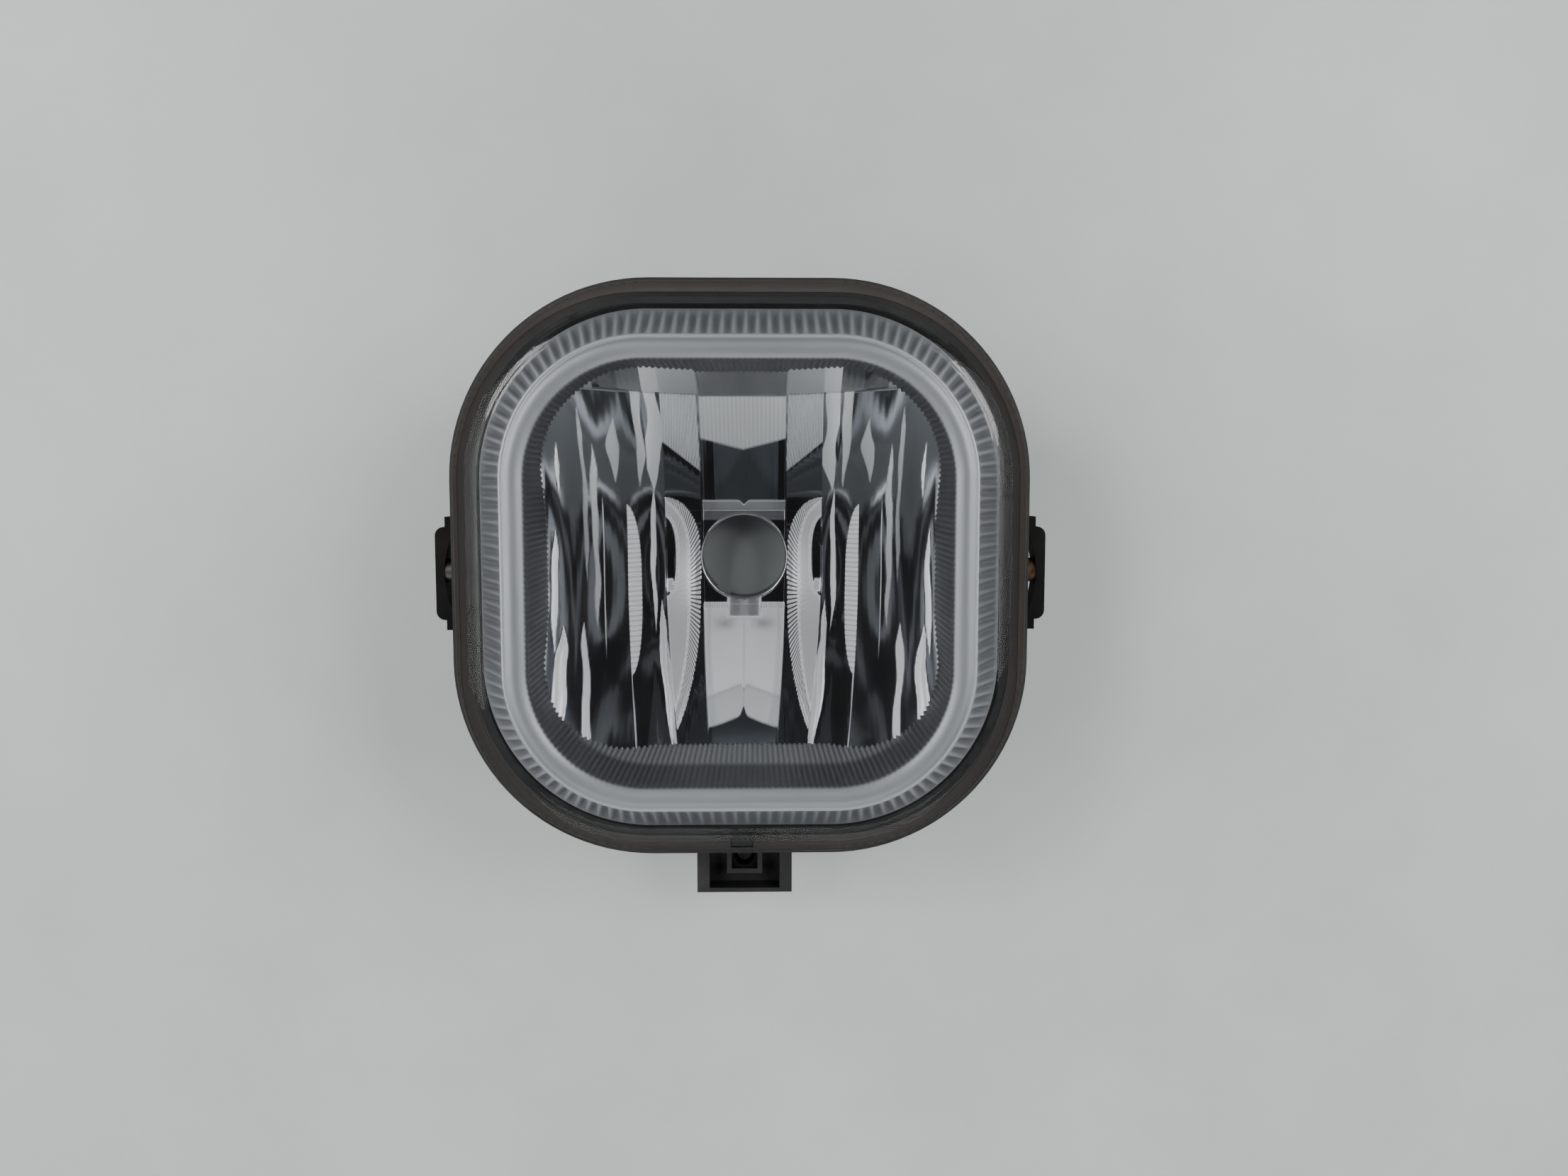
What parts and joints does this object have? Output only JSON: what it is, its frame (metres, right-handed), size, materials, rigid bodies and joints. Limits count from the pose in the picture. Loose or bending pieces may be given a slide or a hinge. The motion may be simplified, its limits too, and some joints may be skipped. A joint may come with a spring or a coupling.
{
  "type": "vehicle fog light",
  "caption": "Rounded-square vehicle fog lamp with a clear cup lens, faceted reflector, black shell, side aiming pivots, lower aiming screw and a rear socket for a bulb.",
  "frame": {"origin": "on the bulb axis, at the rear end of the neck, which the lamp stands on", "axes": "+Z is the optical axis towards the lens, +Y is the lamp's top edge, +X is its right side seen from the front"},
  "size_m": [0.1216, 0.1324, 0.0766],
  "materials": {
    "clear_lens": "polished clear moulding, lightly scuffed at the rim",
    "sealant": "matt cured bead",
    "satin_metallised": "satin metallised plastic, fluted flank",
    "bright_metallised": "bright vacuum metallised plastic",
    "black_plastic": "fine moulded black plastic",
    "black_nylon": "black nylon",
    "pale_nylon": "natural nylon",
    "grey_thermoset": "heat-proof grey moulding",
    "black_rubber": "soft black rubber",
    "foam": "open-cell foam",
    "zinc_steel": "zinc plated",
    "dark_steel": "black oxide steel, a little worn",
    "rusty_steel": "steel with surface rust"
  },
  "bodies": {
    "lamp": {"front_lens": "clear_lens", "lens_bead": "sealant", "bezel_ring": "satin_metallised", "reflector": "bright_metallised", "reflector_screws": "zinc_steel", "housing": "black_plastic", "neck_gasket": "black_rubber", "bulb_collar": "grey_thermoset", "left_pivot_pin": "dark_steel", "right_pivot_pin": "rusty_steel", "left_pivot_washer": "zinc_steel", "right_pivot_washer": "zinc_steel", "adjuster_nut": "black_nylon", "left_vent_cap": "black_rubber", "right_vent_cap": "black_rubber", "left_vent_filter": "foam", "right_vent_filter": "foam"},
    "left_pivot": {"left_pivot_shoe": "black_nylon"},
    "right_pivot": {"right_pivot_shoe": "black_nylon"},
    "adjuster": {"screw_retainer": "pale_nylon"},
    "screw": {"aim_screw": "dark_steel", "push_nut": "zinc_steel"}
  },
  "joints": [
    {"name": "aim_travel", "type": "slide", "parent": "lamp", "child": "adjuster", "axis": [0, 0, 1], "range_m": [-0.003, 0.003]},
    {"name": "aim_screw_turn", "type": "hinge", "parent": "adjuster", "child": "screw", "pos_m": [0, -0.0682, 0.01], "axis": [0, 0, 1], "range_deg": [-720.5, 720.5]},
    {"name": "left_pivot_turn", "type": "hinge", "parent": "lamp", "child": "left_pivot", "pos_m": [-0.0598, -0.0004, 0.0485], "axis": [1, 0, 0], "range_deg": [-2.6, 2.6]},
    {"name": "right_pivot_turn", "type": "hinge", "parent": "lamp", "child": "right_pivot", "pos_m": [0.0598, -0.0004, 0.0485], "axis": [1, 0, 0], "range_deg": [-2.6, 2.6]}
  ],
  "couplings": [
    {"joint": "aim_screw_turn", "follows": "aim_travel", "rad_per_m": 4188.8},
    {"joint": "left_pivot_turn", "follows": "aim_travel", "rad_per_m": -14.749},
    {"joint": "right_pivot_turn", "follows": "aim_travel", "rad_per_m": -14.749}
  ]
}
